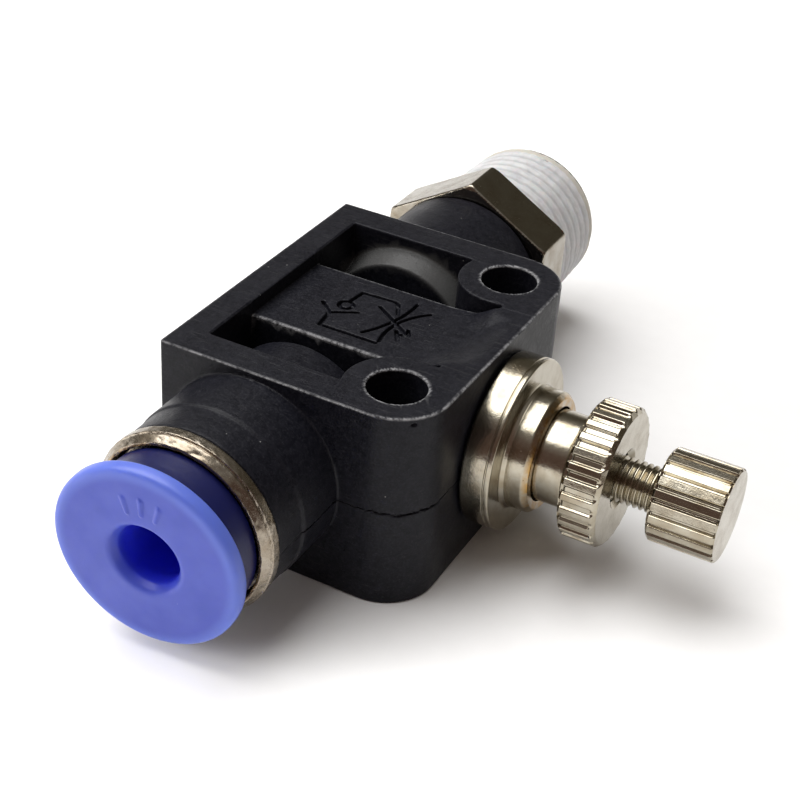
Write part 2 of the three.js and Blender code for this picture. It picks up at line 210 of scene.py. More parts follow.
def signed_volume(points, faces):
    a, b, c = (points[faces[:, i]] for i in range(3))
    total = np.einsum("ij,ij->", a, np.cross(b, c))
    if faces.shape[1] == 4:
        d = points[faces[:, 3]]
        total += np.einsum("ij,ij->", a, np.cross(c, d))
    return total / 6


# ---- moulded pieces, as the zero level of a distance ----
def step01(low, high, value):
    t = np.clip((value - low) / (high - low), 0, 1)
    return t * t * (3 - 2 * t)


def join(a, b, fillet):
    """Union with a rounded inner corner."""
    u, v = np.maximum(fillet - a, 0), np.maximum(fillet - b, 0)
    return np.maximum(fillet, np.minimum(a, b)) - np.sqrt(u * u + v * v)


def meet(a, b, fillet):
    """Intersection with a rounded outer edge."""
    u, v = np.maximum(fillet + a, 0), np.maximum(fillet + b, 0)
    return np.minimum(-fillet, np.maximum(a, b)) + np.sqrt(u * u + v * v)


def cut(a, b, fillet):
    return meet(a, -b, fillet)


def between(value, low, high):
    return np.abs(value - (low + high) / 2) - (high - low) / 2


def rectangle(x, y, x0, x1, y0, y1, corner=0.0):
    dx, dy = between(x, x0, x1) + corner, between(y, y0, y1) + corner
    outside = np.hypot(np.maximum(dx, 0), np.maximum(dy, 0))
    return np.minimum(np.maximum(dx, dy), 0) + outside - corner


def strokes(x, y, lines):
    """Distance in the plane to a set of polylines."""
    nearest = np.full(np.broadcast(x, y).shape, 1e3)
    for line in lines:
        for (x0, y0), (x1, y1) in zip(line, line[1:]):
            dx, dy = x1 - x0, y1 - y0
            t = np.clip(((x - x0) * dx + (y - y0) * dy) / (dx * dx + dy * dy + 1e-9), 0, 1)
            nearest = np.minimum(nearest, np.hypot(x - x0 - t * dx, y - y0 - t * dy))
    return nearest


def arc(cx, cy, radius, start, end, count=10):
    """Points on an arc, with its angles in degrees."""
    angles = np.radians(np.linspace(start, end, count))
    return [(cx + radius * math.cos(a), cy + radius * math.sin(a)) for a in angles]


def ripple(x, y, z, size, seed=0.0):
    """Smooth uneven waves between about -1 and 1, with no random draws."""
    k = TURN / size
    return (
        np.sin(k * x + 1.7 * np.sin(k * 0.53 * y + seed) + seed)
        * np.sin(k * 0.91 * y + 1.3 * np.sin(k * 0.61 * z + 2 * seed))
        + np.sin(k * 0.83 * z + 1.9 * np.sin(k * 0.47 * x + 3 * seed))
    ) / 2


def spaced(*stretches):
    """Grid lines over stretches of (end, spacing) after the first number, the start."""
    lines, start = [np.array([stretches[0]])], stretches[0]
    for end, spacing in stretches[1:]:
        count = max(1, round((end - start) / spacing / COARSE))
        lines.append(np.linspace(start, end, count + 1)[1:])
        start = end
    return np.concatenate(lines)


def level_surface(distance, axes):
    """Points and quads of the zero level of distance, on the grid that the three axes make."""
    gx, gy, gz = axes
    field = distance(gx[:, None, None], gy[None, :, None], gz[None, None, :])
    inside = np.broadcast_to(field < 0, (len(gx), len(gy), len(gz)))
    corners = np.zeros([len(g) - 1 for g in axes], np.int8)
    for i in (0, 1):
        for j in (0, 1):
            for k in (0, 1):
                part = inside[i : i + len(gx) - 1, j : j + len(gy) - 1, k : k + len(gz) - 1]
                corners += part
    active = (corners > 0) & (corners < 8)
    number = np.full(active.shape, -1, np.int32)
    number[active] = np.arange(active.sum())
    cells = np.argwhere(active)
    low = np.stack([g[cells[:, i]] for i, g in enumerate(axes)], 1)
    high = np.stack([g[cells[:, i] + 1] for i, g in enumerate(axes)], 1)
    points = settle(distance, (low + high) / 2, low, high)
    quads = []
    for axis in range(3):
        others = [a for a in range(3) if a != axis]
        near = np.take(inside, np.arange(inside.shape[axis] - 1), axis)
        far = np.take(inside, np.arange(1, inside.shape[axis]), axis)
        edges = np.argwhere(near != far)
        for a in others:
            edges = edges[(edges[:, a] > 0) & (edges[:, a] < inside.shape[a] - 1)]
        ring = []
        for da, db in ((1, 1), (0, 1), (0, 0), (1, 0)):
            at = edges.copy()
            at[:, others[0]] -= da
            at[:, others[1]] -= db
            ring.append(number[at[:, 0], at[:, 1], at[:, 2]])
        quad = np.stack(ring, 1)
        outward = near[edges[:, 0], edges[:, 1], edges[:, 2]]
        if axis == 1:
            outward = ~outward
        quad[~outward] = quad[~outward][:, ::-1]
        quads.append(quad)
    return points, np.concatenate(quads)


def settle(distance, points, low, high, rounds=4):
    """Moves the points onto the zero level, each inside its own box."""
    probe = 1e-3
    reach = 0.3 * (high - low)
    for _ in range(rounds):
        x, y, z = points.T
        here = distance(x, y, z)
        slope = np.stack(
            [
                distance(x + probe, y, z) - distance(x - probe, y, z),
                distance(x, y + probe, z) - distance(x, y - probe, z),
                distance(x, y, z + probe) - distance(x, y, z - probe),
            ],
            1,
        ) / (2 * probe)
        size = np.maximum(np.einsum("ij,ij->i", slope, slope), 0.05)
        points = np.clip(points - slope * (here / size)[:, None], low - reach, high + reach)
    return points


def lightened(name, points, quads, faces):
    """A triangle mesh of about that many faces: flat parts keep the fewest."""
    if signed_volume(points, quads) < 0:
        quads = quads[:, ::-1]
    mesh = build_mesh(name, points, quads)
    holder = bpy.data.objects.new("holder", mesh)
    bpy.context.scene.collection.objects.link(holder)
    thin = holder.modifiers.new("thin", "DECIMATE")
    thin.ratio = min(1.0, faces / (2 * len(quads)))
    thin.use_collapse_triangulate = True
    depsgraph = bpy.context.evaluated_depsgraph_get()
    made = bpy.data.meshes.new_from_object(holder.evaluated_get(depsgraph))
    made.name = name
    bpy.data.objects.remove(holder)
    bpy.data.meshes.remove(mesh)
    return made


# ---- the body ----
SYMBOL_LINES = [
    [(-1.5, -0.1), (-0.6, -0.93), (0.76, -0.06)],  # seat of the check branch
    [(-0.6, -0.93), (-0.4, -2.4)],
    arc(-0.22, 0.3, 0.42, 0, 360, 17),  # its ball
    [(-0.25, 0.72), (-0.1, 2.05), (1.9, 2.18), (2.2, 2.05), (2.75, 1.0)],
    [(-0.4, -2.4), (3.15, -2.38)],
    arc(-4.4, 2.2, 7.55, -32, 3),  # restrictor, one side
    arc(7.2, -0.9, 4.15, 197, 135),  # restrictor, other side
    [(1.5, 1.2), (4.3, -0.75)],  # arrow across it
    [(4.05, -0.2), (4.35, -0.75), (3.9, -0.85)],
    [(3.5, -0.6), (4.05, -1.5)],
]


def platform_height(x, y):
    """The tower's top: low beside the blind side's wall, climbing to the block's top face."""
    low = THICKNESS - 0.9 + 0.2 * step01(4.6, SLOT_END_X, x) + 0.7 * step01(7.0, 9.7, x)
    beside_slots = step01(6.3, SLOT_END_X + 0.2, x) * step01(1.2, TOWER_HALF, np.abs(y))
    return low + (THICKNESS - low) * beside_slots


def block_outline(x, y):
    """Distance to the block's outline, round at the needle side and nearly sharp at the other."""
    corner = np.where(x > 2, BOSS_R, BLIND_CORNER)
    return rectangle(x, y, LEFT_X, RIGHT_X, -HALF_Y, HALF_Y, corner)


def body_distance(x, y, z):
    outline = block_outline(x, y)
    ragged = 0.012 * ripple(x, y, z, 1.1, 0.4)
    block = meet(outline, between(z, 0, THICKNESS), 0.12 + ragged)

    platform = platform_height(x, y)
    recess = np.maximum(np.abs(y) - TOWER_HALF - 0.02, BLIND_WALL_X - x)
    recess = np.maximum(recess, platform - z)
    block = cut(block, recess, 0.1)
    for side in (-1, 1):
        room = rectangle(x, side * y, BLIND_WALL_X, SLOT_END_X, TOWER_HALF, HALF_Y - END_WALL, 0.12)
        room = cut(room, np.hypot(x - HOLE_X, y - side * HOLE_Y) - 2.97, 0.15)
        room = cut(room, np.maximum(6.6 - x, 3.97 - side * y), 0.1)
        block = cut(block, np.maximum(room, WEB_HIGH - z), 0.12)
        block = cut(block, np.maximum(room, z - WEB_LOW), 0.12)

    r = np.hypot(x, z - AXIS_Z)
    swell = step01(-13.35, -13.15, y)
    front_neck = meet(r - (5.25 + 0.1 * swell), between(y, FRONT_NECK_END, -9), 0.14)
    back_neck = meet(r - BACK_NECK_R, between(y, 9, BACK_NECK_END), 0.14)
    front_cone = 5 - 0.0735 * (y + 8)
    front_stub = meet(r - front_cone, between(y, -8.2, FRONT_STUB_END), 0.12)
    back_cone = 4.6 + 0.3125 * (y - BACK_STUB_END)
    back_stub = meet(r - back_cone, between(y, BACK_STUB_END, 8.2), 0.12)
    pipe = np.maximum(r - PIPE_R, between(y, -5, 6.8))
    block = join(block, front_neck, 0.1)
    block = join(block, back_neck, 0.1)
    for stub in (front_stub, back_stub, pipe):
        block = join(block, stub, 0.1)

    for side in (-1, 1):
        hole = np.hypot(x - HOLE_X, y - side * HOLE_Y) - HOLE_R + 0.004 * (z - 6)
        block = cut(block, hole, 0.12 + ragged)

    # bores for the tube cartridge, the fitting's shank and the needle cartridge
    front = np.maximum(r - CARTRIDGE_R, y - CARTRIDGE_FLOOR)
    front = np.minimum(front, np.maximum(r - TUBE_R, y - TUBE_STOP))
    back = np.maximum(r - SHANK_BORE_R, SHANK_FLOOR - y)
    back = np.minimum(back, np.maximum(r - 2.4, 6.9 - y))
    snap_groove = np.maximum(r - SNAP_GROOVE_R, between(y, SNAP_GROOVE_START, SNAP_GROOVE_END))
    back = np.minimum(back, snap_groove)
    s = np.hypot(y, z - AXIS_Z)
    needle = np.maximum(s - NEEDLE_BORE_R, NEEDLE_BORE_END - x)
    needle = np.minimum(needle, np.maximum(s - SPIGOT_BORE_R, SPIGOT_FLOOR - x))
    needle = np.minimum(needle, np.maximum(s - INLET_BORE_R, INLET_BORE_END - x))
    outlet = np.maximum(np.hypot(x - 1.2, z - AXIS_Z) - 1.1, between(y, 0, 7.2))
    for bore in (front, back, needle, outlet):
        block = cut(block, bore, 0.06)

    # engraved symbol, mould marks, parting line and gate mark
    engraved = strokes(x, y, SYMBOL_LINES) - STROKE_HALF - 0.014 * ripple(x, y, x, 0.5)
    block = cut(block, np.maximum(engraved, platform - STROKE_DEPTH - z), 0.03)
    apart, total = x - y, x + y
    wander = 0.03 * np.sin(2.1 * total) + 0.02 * np.sin(7.3 * apart) + 0.012 * np.sin(17 * apart)
    torn = step01(6, 7.5, x) * step01(-6.5, -8, y)  # the line is rougher near the front corner
    wander = wander + 0.07 * torn * np.sin(15 * apart) * np.sin(4.3 * apart + 1)
    crack = np.abs(z - PARTING_Z - wander) - 0.03 - 0.025 * torn
    crack = np.maximum(crack, -outline - 0.07 - 0.05 * torn)
    crack = np.maximum(crack, 5.2 - x)
    block = cut(block, crack, 0.01)
    gx, gy = HOLE_X + BOSS_R * math.cos(-0.78), -HOLE_Y + BOSS_R * math.sin(-0.78)
    gate = np.sqrt((x - gx) ** 2 + (y - gy) ** 2 + ((z - GATE_Z) * 1.5) ** 2) - GATE_R
    return cut(block, gate, 0.02)


def stub_sheen_mark(points):
    """1 on the back neck's stub inside the pocket, which is smoother and is lightened for a painted
    sheen.
    """
    x, y, z = points.T
    r = np.hypot(x, z - AXIS_Z)
    along = step01(6.25, 6.5, y) * (1 - step01(7.95, 8.2, y))
    return along * step01(4.3, 4.5, r) * (1 - step01(5.2, 5.3, r))


def edge_highlight_mark(points):
    """1 on the top edges and hole rims of the body and on the platform's front ledge, for a painted
    highlight where light catches the small rounded edges.
    """
    x, y, z = points.T
    nearest = np.abs(block_outline(x, y))
    for side in (-1, 1):
        nearest = np.minimum(nearest, np.abs(np.hypot(x - HOLE_X, y - side * HOLE_Y) - HOLE_R))
    top = 1 - step01(0.03, 0.14, np.abs(z - THICKNESS))
    edge = (1 - step01(0.04, 0.11, nearest)) * top
    # the platform's front ledge takes the same painted highlight
    ledge_highlight = (1 - step01(0.04, 0.12, np.abs(np.abs(y) - TOWER_HALF))) * step01(10.85, 11.05, z)
    ledge_highlight = ledge_highlight * (x > BLIND_WALL_X) * (1 - step01(5.5, 7.0, x))
    return np.maximum(edge, ledge_highlight)


# ---- materials ----
class Finish:
    """A material around one Principled shader. Its node coordinates are in millimetres."""

    def __init__(self, name, **values):
        self.material = bpy.data.materials.new(name)
        self.material.use_nodes = True
        self.tree = self.material.node_tree
        self.shader = self.tree.nodes["Principled BSDF"]
        for socket, value in values.items():
            self.shader.inputs[socket.replace("_", " ")].default_value = value
        coordinates = self.tree.nodes.new("ShaderNodeTexCoord")
        self.place = self.vector("SCALE", coordinates.outputs["Object"], scale=1 / MM)

    def feed(self, socket, value):
        if isinstance(value, bpy.types.NodeSocket):
            self.tree.links.new(value, socket)
        else:
            socket.default_value = value

    def vector(self, operation, a, b=None, scale=None):
        node = self.tree.nodes.new("ShaderNodeVectorMath")
        node.operation = operation
        self.feed(node.inputs[0], a)
        if b is not None:
            self.feed(node.inputs[1], b)
        if scale is not None:
            self.feed(node.inputs["Scale"], scale)
        return node.outputs["Value" if operation in ("LENGTH", "DOT_PRODUCT") else "Vector"]

    def math(self, operation, a, b=None):
        node = self.tree.nodes.new("ShaderNodeMath")
        node.operation = operation
        self.feed(node.inputs[0], a)
        if b is not None:
            self.feed(node.inputs[1], b)
        return node.outputs[0]

    def stretched(self, x, y, z):
        return self.vector("MULTIPLY", self.place, (x, y, z))

    def turning(self, along, fine, round_):
        """Coordinates that run along the axis and outwards fast, and round the axis slowly."""
        centred = self.vector("SUBTRACT", self.place, (0, 0, AXIS_Z))
        flat = self.vector("MULTIPLY", centred, (0, 1, 1) if along == "x" else (1, 0, 1))
        radius = self.vector("LENGTH", flat)
        split = self.tree.nodes.new("ShaderNodeSeparateXYZ")
        self.feed(split.inputs[0], centred)
        made = self.tree.nodes.new("ShaderNodeCombineXYZ")
        lengthwise = split.outputs[0 if along == "x" else 1]
        self.feed(made.inputs[0], self.math("MULTIPLY", lengthwise, fine))
        self.feed(made.inputs[1], self.math("MULTIPLY", radius, fine))
        other = split.outputs[1 if along == "x" else 0]
        self.feed(made.inputs[2], self.math("MULTIPLY", other, round_))
        return made.outputs[0]

    def noise(self, where, scale, detail=3.0, roughness=0.55):
        node = self.tree.nodes.new("ShaderNodeTexNoise")
        self.feed(node.inputs["Vector"], where)
        node.inputs["Scale"].default_value = scale
        node.inputs["Detail"].default_value = detail
        node.inputs["Roughness"].default_value = roughness
        return node.outputs["Fac"]

    def specks(self, scale, size, share):
        """1 in sparse round spots: cells of the given scale, of which a share has a spot."""
        cells = self.tree.nodes.new("ShaderNodeTexVoronoi")
        self.feed(cells.inputs["Vector"], self.place)
        cells.inputs["Scale"].default_value = scale
        drawn = self.vector("DOT_PRODUCT", cells.outputs["Color"], (1, 0, 0))
        chosen = self.math("LESS_THAN", drawn, share)
        spot = self.ranged(cells.outputs["Distance"], size, size * 0.55, 0, 1)
        return self.math("MULTIPLY", spot, chosen)

    def ranged(self, value, low, high, to_low, to_high):
        node = self.tree.nodes.new("ShaderNodeMapRange")
        self.feed(node.inputs["Value"], value)
        node.inputs["From Min"].default_value, node.inputs["From Max"].default_value = low, high
        node.inputs["To Min"].default_value, node.inputs["To Max"].default_value = to_low, to_high
        return node.outputs["Result"]

    def mark(self, name):
        node = self.tree.nodes.new("ShaderNodeAttribute")
        node.attribute_name = name
        return node.outputs["Fac"]

    def mix(self, share, a, b):
        node = self.tree.nodes.new("ShaderNodeMix")
        node.data_type = "RGBA"
        self.feed(node.inputs[0], share)
        self.feed(node.inputs[6], a)
        self.feed(node.inputs[7], b)
        return node.outputs[2]

    def bump(self, height, distance, strength=1.0, normal=None):
        node = self.tree.nodes.new("ShaderNodeBump")
        node.inputs["Strength"].default_value = strength
        node.inputs["Distance"].default_value = distance * MM
        self.feed(node.inputs["Height"], height)
        if normal is not None:
            self.feed(node.inputs["Normal"], normal)
        return node.outputs["Normal"]

    def set(self, **sockets):
        for socket, value in sockets.items():
            self.feed(self.shader.inputs[socket.replace("_", " ")], value)
        return self.material


def black_nylon():
    f = Finish("nylon_black", IOR=1.5, Specular_IOR_Level=0.14)
    grain = f.noise(f.place, 7.0, 4.0, 0.75)
    mottle = f.noise(f.place, 2.4, 3.0, 0.65)
    cloud = f.noise(f.place, 0.35, 2.0)
    colour = f.mix(
        f.ranged(mottle, 0.35, 0.68, 0, 1), (0.0052, 0.0054, 0.0086, 1), (0.0120, 0.0122, 0.0170, 1)
    )
    scratch = f.ranged(f.noise(f.stretched(0.3, 5.0, 5.0), 2.0, 3.0, 0.6), 0.62, 0.72, 0, 1)
    colour = f.mix(f.ranged(grain, 0.5, 0.74, 0, 0.6), colour, (0.034, 0.034, 0.041, 1))
    colour = f.mix(f.math("MULTIPLY", scratch, 0.2), colour, (0.06, 0.06, 0.062, 1))
    dust = f.specks(1.5, 0.06, 0.16)
    lint = f.specks(3.2, 0.07, 0.05)
    colour = f.mix(f.math("MULTIPLY", dust, 0.7), colour, (0.42, 0.42, 0.4, 1))
    colour = f.mix(f.math("MULTIPLY", lint, 0.3), colour, (0.3, 0.3, 0.3, 1))
    patchy = f.ranged(f.noise(f.place, 3.2, 4.0, 0.75), 0.4, 0.58, 0.15, 1)
    # painted highlight: the top edges, hole rims and ledge are lightened in patches, standing for
    # light caught on the rounded edges
    painted_edge_highlight = f.math("MULTIPLY", f.mark("rim"), patchy)
    colour = f.mix(f.math("MULTIPLY", painted_edge_highlight, 0.85), colour, (0.4, 0.4, 0.41, 1))
    # painted sheen: the back stub's colour is lightened to stand for its highlight, and its
    # roughness is lowered
    smooth_and_sheen = f.mark("stub")
    colour = f.mix(smooth_and_sheen, colour, (0.065, 0.065, 0.064, 1))
    rough = f.math(
        "ADD", f.ranged(grain, 0.3, 0.7, 0.27, 0.43), f.ranged(cloud, 0.35, 0.65, -0.03, 0.06)
    )
    rough = f.math("SUBTRACT", rough, f.math("MULTIPLY", smooth_and_sheen, 0.08))
    surface = f.bump(grain, 0.016, 0.8)
    surface = f.bump(mottle, 0.035, 0.6, surface)
    surface = f.bump(f.math("SUBTRACT", 1.0, scratch), 0.01, 0.6, surface)
    return f.set(Base_Color=colour, Roughness=rough, Normal=surface)


def blue_acetal():
    f = Finish(
        "acetal_blue", IOR=1.48, Subsurface_Weight=0.3, Subsurface_Scale=1.2 * MM,
        Subsurface_Radius=(0.3, 0.4, 1.0),
    )
    tint = f.noise(f.place, 0.5, 2.0)
    colour = f.mix(
        f.ranged(tint, 0.35, 0.65, 0, 1), (0.056, 0.090, 0.53, 1), (0.074, 0.110, 0.57, 1)
    )
    # painted highlight: the disc's rim is lightened, standing for light on its rounded edge
    colour = f.mix(f.mark("rim"), colour, (0.12, 0.185, 0.68, 1))
    colour = f.mix(f.math("MULTIPLY", f.specks(1.1, 0.05, 0.1), 0.5), colour, (0.55, 0.6, 0.85, 1))
    colour = f.mix(f.mark("inner"), colour, (0.03, 0.045, 0.75, 1))
    # painted shade: the sleeve in the gap behind the disc is darkened nearly to black, where shade
    # falls
    colour = f.mix(f.mark("hub"), colour, (0.006, 0.0085, 0.075, 1))
    fine = f.noise(f.place, 6.0, 3.0)
    surface = f.bump(fine, 0.006, 0.5)
    surface = f.bump(f.noise(f.place, 0.9, 2.0), 0.03, 0.4, surface)
    return f.set(Base_Color=colour, Roughness=f.ranged(fine, 0.3, 0.7, 0.30, 0.42), Normal=surface)


def plated(
    name, along="x", turned=True, base=(0.44, 0.405, 0.325), rough=(0.10, 0.23), gold=False,
    pits=0.12,
):
    """Nickel plate over brass: stains, small pits, and turning lines or else lines along Y.

    gold shows bare brass where the mark of that name is 1.
    """
    f = Finish(name, Metallic=1.0)
    if turned:
        lines = f.noise(f.turning(along, 1.0, 0.12), 11.0, 3.0, 0.7)
    else:
        lines = f.noise(f.stretched(6, 1, 6), 2.0, 3.0, 0.6)
    stain = f.noise(f.place, 0.8, 3.0, 0.6)
    fine = f.noise(f.place, 7.0, 4.0, 0.7)
    dull = tuple(c * k for c, k in zip(base, (0.70, 0.64, 0.56)))
    colour = f.mix(f.ranged(stain, 0.4, 0.72, 0, 1), (*base, 1), (*dull, 1))
    spots = f.math("MAXIMUM", f.specks(2.6, 0.09, pits), f.specks(5.5, 0.09, pits * 0.8))
    colour = f.mix(f.math("MULTIPLY", spots, 0.85), colour, (0.055, 0.042, 0.03, 1))
    if gold:
        patchy = f.ranged(f.noise(f.place, 1.8, 3.0, 0.7), 0.38, 0.56, 0.15, 1)
        bare = f.math("MULTIPLY", f.mark("gold"), patchy)
        colour = f.mix(bare, colour, (0.40, 0.235, 0.07, 1))
    roughness = f.math(
        "ADD", f.ranged(fine, 0.3, 0.7, *rough), f.ranged(stain, 0.4, 0.7, 0, 0.07)
    )
    roughness = f.math("ADD", roughness, f.math("MULTIPLY", spots, 0.3))
    surface = f.bump(lines, 0.004, 0.4)
    surface = f.bump(f.math("SUBTRACT", fine, f.math("MULTIPLY", spots, 2.5)), 0.009, 0.4, surface)
    surface = f.bump(f.noise(f.place, 1.6, 4.0, 0.65), 0.035, 0.35, surface)
    return f.set(Base_Color=colour, Roughness=roughness, Normal=surface)


def bare_brass():
    f = Finish("brass_bare", Metallic=1.0)
    stain = f.noise(f.place, 1.4, 3.0)
    colour = f.mix(f.ranged(stain, 0.35, 0.7, 0, 1), (0.72, 0.5, 0.19, 1), (0.5, 0.31, 0.1, 1))
    lines = f.noise(f.turning("x", 1.0, 0.1), 9.0, 3.0)
    rough = f.ranged(stain, 0.3, 0.7, 0.2, 0.36)
    return f.set(Base_Color=colour, Roughness=rough, Normal=f.bump(lines, 0.006, 0.6))


def spring_steel():
    f = Finish("steel_spring", Metallic=1.0)
    fine = f.noise(f.stretched(8, 2, 8), 1.5, 3.0)
    colour = f.mix(fine, (0.42, 0.42, 0.43, 1), (0.62, 0.62, 0.62, 1))
    rough = f.ranged(fine, 0.3, 0.7, 0.2, 0.34)
    return f.set(Base_Color=colour, Roughness=rough, Normal=f.bump(fine, 0.008, 0.6))


def seal_rubber():
    f = Finish("rubber_seal")
    fine = f.noise(f.place, 12.0, 4.0, 0.7)
    colour = f.mix(fine, (0.012, 0.012, 0.012, 1), (0.03, 0.03, 0.03, 1))
    rough = f.ranged(fine, 0.3, 0.7, 0.5, 0.7)
    return f.set(Base_Color=colour, Roughness=rough, Normal=f.bump(fine, 0.01, 0.8))


def white_sealant():
    f = Finish("sealant_white", IOR=1.4, Subsurface_Weight=0.15, Subsurface_Scale=0.4 * MM)
    patch = f.noise(f.place, 1.1, 4.0, 0.65)
    fine = f.noise(f.place, 9.0, 4.0, 0.75)
    colour = f.mix(
        f.ranged(patch, 0.35, 0.65, 0, 1), (0.68, 0.685, 0.69, 1), (0.56, 0.56, 0.57, 1)
    )
    # painted shade: darker grey in the thread's roots, where shade falls
    colour = f.mix(f.mark("root"), colour, (0.36, 0.355, 0.36, 1))
    colour = f.mix(f.mark("bare"), colour, (0.56, 0.53, 0.47, 1))
    colour = f.mix(f.math("MULTIPLY", f.specks(2.0, 0.09, 0.12), 0.5), colour, (0.4, 0.38, 0.34, 1))
    surface = f.bump(f.math("ADD", fine, patch), 0.03, 0.6)
    return f.set(Base_Color=colour, Roughness=f.ranged(fine, 0.3, 0.7, 0.42, 0.62), Normal=surface)


nylon = black_nylon()
acetal = blue_acetal()
nickel_ring = plated(
    "nickel_ring", "y", base=(0.34, 0.30, 0.245), rough=(0.16, 0.32), gold=True, pits=0.35
)
nickel_bushing = plated("nickel_bushing", "x", gold=True, pits=0.2)
nickel_guide = plated("nickel_guide", "x")
nickel_nut = plated("nickel_locknut", "x", pits=0.08)
nickel_knob = plated("nickel_knob", "x", pits=0.08)
nickel_stem = plated("nickel_stem", "x", pits=0.02)
nickel_fitting = plated("nickel_fitting", turned=False, base=(0.35, 0.325, 0.275), pits=0.05)
brass, steel, rubber, sealant = bare_brass(), spring_steel(), seal_rubber(), white_sealant()


# ---- pieces ----
def flow_radius(points):
    """Distance from the flow axis."""
    return np.hypot(points[:, 0], points[:, 2] - AXIS_Z)


def needle_radius(points):
    """Distance from the needle axis."""
    return np.hypot(points[:, 1], points[:, 2] - AXIS_Z)


def build_body():
    axes = (
        spaced(-6.03, (-1.7, 0.125), (5, 0.06), (10.15, 0.125)),
        spaced(-15.63, (-2.7, 0.125), (2.7, 0.06), (15.7, 0.125)),
        spaced(-0.23, (0.4, 0.08), (5.84, 0.125), (6.16, 0.04), (10.9, 0.125), (12.2, 0.055)),
    )
    points, quads = level_surface(body_distance, axes)
    mesh = lightened("body_moulding", points, quads, BODY_FACES)
    return make_piece(
        "body_moulding", mesh, "body", ["valve_body"], nylon,
        # rim carries a painted highlight on the top edges and hole rims; stub carries a painted
        # sheen on the back stub
        {"rim": edge_highlight_mark, "stub": stub_sheen_mark},
    )


DISC_CENTRE = np.array((0, -19.6, AXIS_Z))
DISC_CANT = (math.radians(2.7), 0, math.radians(3.3))


def collet_relief(place, radius, angle, out):
    """Three raised bars on the face: a size mark."""
    turn = (angle + math.pi) % TURN - math.pi
    on_face = step01(0.9, 0.98, -out[:, 1])
    bars = np.zeros_like(radius)
    for middle in (-0.28, 0.0, 0.28):
        u, v = (turn - middle) * 3.3, radius - 3.3
        gap = np.hypot(u, np.maximum(np.abs(v) - 0.42, 0))
        bars = np.maximum(bars, 1 - step01(0.06, 0.17, gap))
    return 0.09 * bars * on_face


def cant_disc(points):
    """The ring sits loose and a little crooked in the valve, while its hub and sleeve stay true."""
    share = 1 - step01(-18.6, -17.9, points[:, 1])
    turned = (points - DISC_CENTRE) @ np.array(Euler(DISC_CANT).to_matrix()).T + DISC_CENTRE
    return points + share[:, None] * (turned - points)


def build_collet():
    profile = [
        (2.1, -19.6, 0.4), (5.35, -19.6, 0.42), (5.35, -18.7, 0.25), (4.65, -18.7, 0.1),
        (4.65, -16.55, 0.1), (2.75, -16.55, 0.1), (2.75, -13.6, 0.1), (2.2, -13.0, 0.05),
        (1.78, -13.0, 0.05), (1.78, -19.1, 0.4),
    ]

    def inner(p):
        return (flow_radius(p) < 2.3) * step01(-19.5, -18.6, p[:, 1])

    # the hub mark places painted shade on the sleeve in the gap behind the disc
    def hub(p):
        return step01(-18.9, -18.6, p[:, 1]) * (flow_radius(p) < 4.75) * (flow_radius(p) > 2.6)

    # the rim mark places the painted highlight on the disc's rounded edge
    def rim(p):
        return step01(4.5, 5.1, flow_radius(p))

    return turned_piece(
        "collet", profile, "y", 288, "collet", ["release_collet"], "blue_acetal", acetal,
        {"inner": inner, "hub": hub, "rim": rim}, after=cant_disc, relief=collet_relief,
        longest=0.09,
    )


def ring_relief(place, radius, angle, out):
    """Dents from pressing the ring in, on its lip and its front bevel."""
    lip = (1 - step01(-16.2, -15.9, place)) * step01(4.5, 4.9, radius)
    dents = np.maximum(0, ripple(angle * 5.0, place * 2, radius * 2, 1.3, 0.7) - 0.35)
    chips = np.maximum(0, ripple(angle * 5.0, place * 3, radius * 3, 0.45, 2.1) - 0.45)
    return -(0.06 * dents + 0.07 * chips) * lip - 0.012 * ripple(angle * 5, place, radius, 0.7, 1.3)


def build_ring():
    profile = [
        (4.8, -16.7, 0.1), (5.0, -16.7, 0.1), (5.29, -16.28, 0.05), (5.2, -16.22, 0.03),
        (5.2, -16.16, 0.03), (5.33, -16.1, 0.06), (5.33, -15.5, 0.12), (4.35, -15.5, 0.05),
        (4.35, -12.3, 0.05), (2.95, -12.3, 0.05), (2.95, -15.7, 0.05), (4.72, -15.7, 0.1),
    ]

    def gold(p):
        return (1 - step01(4.86, 5.0, flow_radius(p))) * (1 - step01(-16.5, -16.3, p[:, 1]))

    return turned_piece(
        "collet_ring", profile, "y", 256, "body", ["collet_retainer_ring"], "nickel_brass",
        nickel_ring, {"gold": gold}, relief=ring_relief, longest=0.08,
    )


def build_bushing():
    profile = [
        (2.2, 4.9, 0.1), (2.6, 4.9, 0.1), (2.6, 7.9, 0.1), (3.8, 7.9, 0.1), (3.8, 10.0, 0.1),
        (5.0, 10.0, 0.2), (5.0, 11.38, 0.03), (4.93, 11.42, 0.03), (4.93, 11.47, 0.03),
        (5.0, 11.51, 0.03), (5.0, 11.77, 0.14), (3.62, 11.77, 0.16), (3.5, 12.0, 0.1),
        (3.5, 13.0, 0.14), (3.22, 13.3, 0.08), (2.75, 13.3, 0.08), (2.75, 13.0, 0.05),
        (3.0, 13.0, 0.05), (3.0, 11.8, 0.05), (2.2, 11.8, 0.05),
    ]

    def gold(p):
        return step01(13.0, 13.12, p[:, 0]) * step01(2.7, 2.8, needle_radius(p))

    return turned_piece(
        "bushing", profile, "x", 224, "body", ["needle_bushing"], "nickel_brass", nickel_bushing,
        {"gold": gold}, steps=6,
    )


def build_guide():
    profile = [
        (1.4, 4.0, 0.05), (2.1, 4.0, 0.1), (2.1, 11.9, 0.05), (2.9, 11.9, 0.05), (2.9, 12.9, 0.05),
        (2.65, 12.9, 0.08), (2.65, 15.0, 0.2), (1.4, 15.0, 0.1),
    ]
    return turned_piece(
        "guide", profile, "x", 160, "body", ["needle_guide"], "nickel_brass", nickel_guide, steps=6
    )


